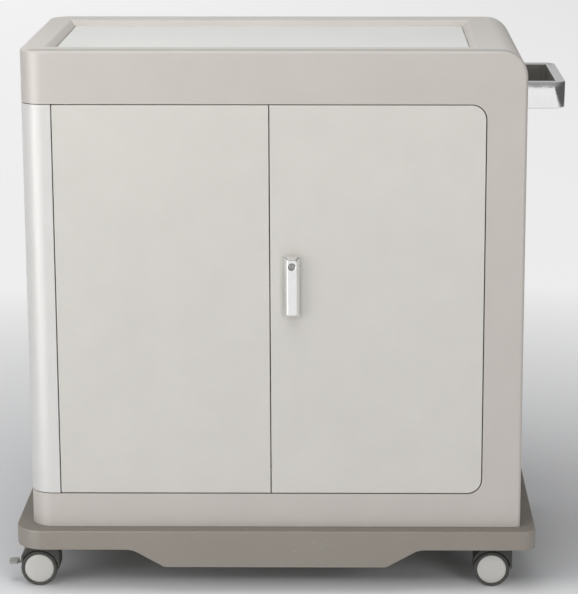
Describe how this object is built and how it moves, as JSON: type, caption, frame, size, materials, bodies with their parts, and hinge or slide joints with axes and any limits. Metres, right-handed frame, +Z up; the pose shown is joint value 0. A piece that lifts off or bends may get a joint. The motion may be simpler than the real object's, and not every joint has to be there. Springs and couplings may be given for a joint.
{
  "type": "laptop charging trolley",
  "caption": "Lockable trolley on twin-wheel casters that stores laptops upright between dividers and charges them from a power bay behind.",
  "frame": {"origin": "on the floor, under the middle of the whole trolley with its push handle and brake pedals", "axes": "+Z up, -Y towards the front doors, +X towards the side with the push handle"},
  "size_m": [1.14, 0.635, 1.1153],
  "materials": {
    "frame_paint": "light grey moulded plastic, satin",
    "column_paint": "pale grey moulded plastic, satin",
    "insert_paint": "pale grey plastic sheet, fine texture",
    "door_paint": "warm light grey powder coat",
    "lining_steel": "light grey powder coat",
    "divider_plastic": "mid grey plastic",
    "plinth_plastic": "warm dark grey moulded plastic",
    "chrome": "bright chrome plate",
    "zinc_steel": "zinc plated steel",
    "black_plastic": "black plastic",
    "lead_cover": "black flexible sheath",
    "hood_plastic": "dark grey nylon",
    "tyre_rubber": "grey rubber tread",
    "wheel_grey": "light grey nylon"
  },
  "bodies": {
    "cabinet": {"outer_frame": "frame_paint", "left_side_panel": "column_paint", "top_insert": "insert_paint", "inner_cabinet": "lining_steel", "lower_shelf": "lining_steel", "upper_shelf": "lining_steel", "lower_dividers": "divider_plastic", "upper_dividers": "divider_plastic", "lower_partition": "lining_steel", "upper_partition": "lining_steel", "fan_panel": "frame_paint", "inlet_panel": "frame_paint", "fan_tray": "black_plastic", "lower_power_strip": "black_plastic", "upper_power_strip": "black_plastic", "control_box": "black_plastic", "lower_strip_lead": "lead_cover", "upper_strip_lead": "lead_cover", "mains_inlet": "black_plastic", "push_handle": "chrome", "plinth_cover": "plinth_plastic", "chassis_frame": "zinc_steel", "front_left_caster_plate": "zinc_steel", "front_right_caster_plate": "zinc_steel", "rear_left_caster_plate": "zinc_steel", "rear_right_caster_plate": "zinc_steel"},
    "left_door": {"left_door": "door_paint", "left_door_lining": "lining_steel", "left_hinge_rod": "zinc_steel"},
    "door_bolt": {"door_bolt": "zinc_steel"},
    "right_door": {"right_door": "door_paint", "right_door_lining": "lining_steel", "right_hinge_rod": "zinc_steel"},
    "door_lock": {"lock_handle": "chrome", "lock_cam": "zinc_steel"},
    "lock_cylinder": {"lock_cylinder": "zinc_steel"},
    "rear_left_door": {"rear_left_door": "door_paint"},
    "rear_right_door": {"rear_right_door": "door_paint"},
    "rear_lock": {"rear_lock": "zinc_steel"},
    "left_fan": {"left_fan_rotor": "black_plastic"},
    "right_fan": {"right_fan_rotor": "black_plastic"},
    "power_switch": {"power_rocker": "hood_plastic"},
    "front_left_swivel": {"front_left_hood": "hood_plastic"},
    "front_left_wheels": {"front_left_wheel_core": "wheel_grey", "front_left_front_tyre": "tyre_rubber", "front_left_rear_tyre": "tyre_rubber"},
    "front_left_pedal": {"front_left_brake_pedal": "wheel_grey"},
    "front_right_swivel": {"front_right_hood": "hood_plastic"},
    "front_right_wheels": {"front_right_wheel_core": "wheel_grey", "front_right_front_tyre": "tyre_rubber", "front_right_rear_tyre": "tyre_rubber"},
    "rear_left_swivel": {"rear_left_hood": "hood_plastic"},
    "rear_left_wheels": {"rear_left_wheel_core": "wheel_grey", "rear_left_front_tyre": "tyre_rubber", "rear_left_rear_tyre": "tyre_rubber"},
    "rear_left_pedal": {"rear_left_brake_pedal": "wheel_grey"},
    "rear_right_swivel": {"rear_right_hood": "hood_plastic"},
    "rear_right_wheels": {"rear_right_wheel_core": "wheel_grey", "rear_right_front_tyre": "tyre_rubber", "rear_right_rear_tyre": "tyre_rubber"}
  },
  "joints": [
    {"name": "left_door_hinge", "type": "hinge", "parent": "cabinet", "child": "left_door", "pos_m": [-0.4225, -0.2795, 0.2103], "axis": [0, 0, -1], "range_deg": [0, 110]},
    {"name": "door_bolt_slide", "type": "slide", "parent": "left_door", "child": "door_bolt", "axis": [0, 0, 1], "range_m": [0, 0.012]},
    {"name": "right_door_hinge", "type": "hinge", "parent": "cabinet", "child": "right_door", "pos_m": [0.3725, -0.2795, 0.2103], "axis": [0, 0, 1], "range_deg": [0, 110]},
    {"name": "lock_turn", "type": "hinge", "parent": "right_door", "child": "door_lock", "pos_m": [0.0195, -0.2865, 0.6863], "axis": [0, -1, 0], "range_deg": [0, 90]},
    {"name": "key_turn", "type": "hinge", "parent": "door_lock", "child": "lock_cylinder", "pos_m": [0.0195, -0.3068, 0.6863], "axis": [0, -1, 0], "range_deg": [0, 90]},
    {"name": "rear_left_hinge", "type": "hinge", "parent": "cabinet", "child": "rear_left_door", "pos_m": [-0.4325, 0.2795, 0.2923], "axis": [0, 0, 1], "range_deg": [0, 110]},
    {"name": "rear_right_hinge", "type": "hinge", "parent": "cabinet", "child": "rear_right_door", "pos_m": [0.3825, 0.2795, 0.2923], "axis": [0, 0, -1], "range_deg": [0, 110]},
    {"name": "rear_lock_turn", "type": "hinge", "parent": "rear_right_door", "child": "rear_lock", "pos_m": [0.011, 0.2865, 0.4933], "axis": [0, -1, 0], "range_deg": [0, 90]},
    {"name": "left_fan_spin", "type": "hinge", "parent": "cabinet", "child": "left_fan", "pos_m": [-0.225, 0.2635, 0.9318], "axis": [0, 1, 0], "continuous": true},
    {"name": "right_fan_spin", "type": "hinge", "parent": "cabinet", "child": "right_fan", "pos_m": [0.175, 0.2635, 0.9318], "axis": [0, 1, 0], "continuous": true},
    {"name": "switch_tilt", "type": "hinge", "parent": "cabinet", "child": "power_switch", "pos_m": [-0.288, 0.2848, 0.25905], "axis": [-1, 0, 0], "range_deg": [0, 9]},
    {"name": "front_left_swivel_turn", "type": "hinge", "parent": "cabinet", "child": "front_left_swivel", "pos_m": [-0.4835, -0.2355, 0.1], "axis": [0, 0, 1], "continuous": true},
    {"name": "front_left_wheels_roll", "type": "hinge", "parent": "front_left_swivel", "child": "front_left_wheels", "pos_m": [-0.506, -0.2355, 0.0375], "axis": [0, 1, 0], "continuous": true},
    {"name": "front_left_pedal_press", "type": "hinge", "parent": "front_left_swivel", "child": "front_left_pedal", "pos_m": [-0.5365, -0.2355, 0.044], "axis": [0, -1, 0], "range_deg": [0, 10]},
    {"name": "front_right_swivel_turn", "type": "hinge", "parent": "cabinet", "child": "front_right_swivel", "pos_m": [0.4505, -0.2355, 0.1], "axis": [0, 0, 1], "continuous": true},
    {"name": "front_right_wheels_roll", "type": "hinge", "parent": "front_right_swivel", "child": "front_right_wheels", "pos_m": [0.428, -0.2355, 0.0375], "axis": [0, 1, 0], "continuous": true},
    {"name": "rear_left_swivel_turn", "type": "hinge", "parent": "cabinet", "child": "rear_left_swivel", "pos_m": [-0.4835, 0.2355, 0.1], "axis": [0, 0, 1], "continuous": true},
    {"name": "rear_left_wheels_roll", "type": "hinge", "parent": "rear_left_swivel", "child": "rear_left_wheels", "pos_m": [-0.506, 0.2355, 0.0375], "axis": [0, 1, 0], "continuous": true},
    {"name": "rear_left_pedal_press", "type": "hinge", "parent": "rear_left_swivel", "child": "rear_left_pedal", "pos_m": [-0.5365, 0.2355, 0.044], "axis": [0, -1, 0], "range_deg": [0, 10]},
    {"name": "rear_right_swivel_turn", "type": "hinge", "parent": "cabinet", "child": "rear_right_swivel", "pos_m": [0.4505, 0.2355, 0.1], "axis": [0, 0, 1], "continuous": true},
    {"name": "rear_right_wheels_roll", "type": "hinge", "parent": "rear_right_swivel", "child": "rear_right_wheels", "pos_m": [0.428, 0.2355, 0.0375], "axis": [0, 1, 0], "continuous": true}
  ]
}
